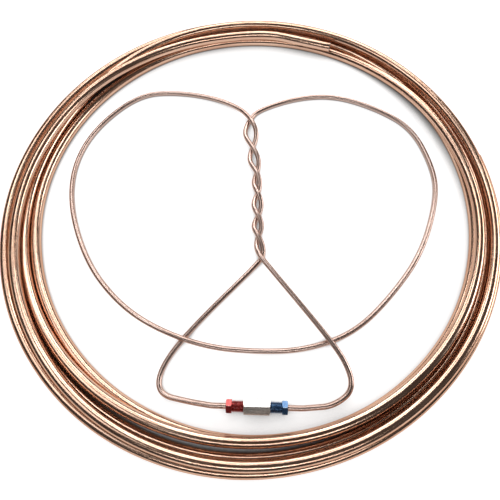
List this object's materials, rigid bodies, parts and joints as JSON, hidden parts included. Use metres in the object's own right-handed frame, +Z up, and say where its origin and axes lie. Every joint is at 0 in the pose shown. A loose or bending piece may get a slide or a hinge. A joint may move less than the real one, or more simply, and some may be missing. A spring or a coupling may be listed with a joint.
{
  "type": "coiled metal tubing",
  "caption": "Flat ring coil of bare metal tubing with a smaller bent and twisted loop of tube inside it, its ends joined by a union and two coloured flare nuts.",
  "frame": {"origin": "centre of the bounding box at the floor the coil lies on", "axes": "+Z up out of the floor, along the coil's axis; the fitting lies on the -Y side, the red nut towards -X"},
  "size_m": [0.492, 0.491, 0.0232],
  "materials": {
    "coil_metal": "bright drawn copper-nickel alloy, lightly tarnished",
    "loop_metal": "bright drawn copper-nickel alloy",
    "plated_union": "bright plated steel bar",
    "red_nut": "red tinted plating, glossy",
    "blue_nut": "blue tinted plating, glossy"
  },
  "bodies": {
    "coil": {"coil_tube": "coil_metal"},
    "loop": {"loop_tube": "loop_metal", "union": "plated_union"},
    "red_nut": {"red_tube_nut": "red_nut"},
    "blue_nut": {"blue_tube_nut": "blue_nut"}
  },
  "joints": [
    {"name": "loop_lift", "type": "slide", "parent": "coil", "child": "loop", "axis": [0, 0, 1], "range_m": [0, 0.1]},
    {"name": "red_nut_screw", "type": "slide", "parent": "loop", "child": "red_nut", "axis": [-0.9962, 0.0872, 0], "range_m": [-0.00317, 0.00953]},
    {"name": "blue_nut_screw", "type": "slide", "parent": "loop", "child": "blue_nut", "axis": [0.9962, -0.0872, 0], "range_m": [-0.00317, 0.00953]}
  ]
}
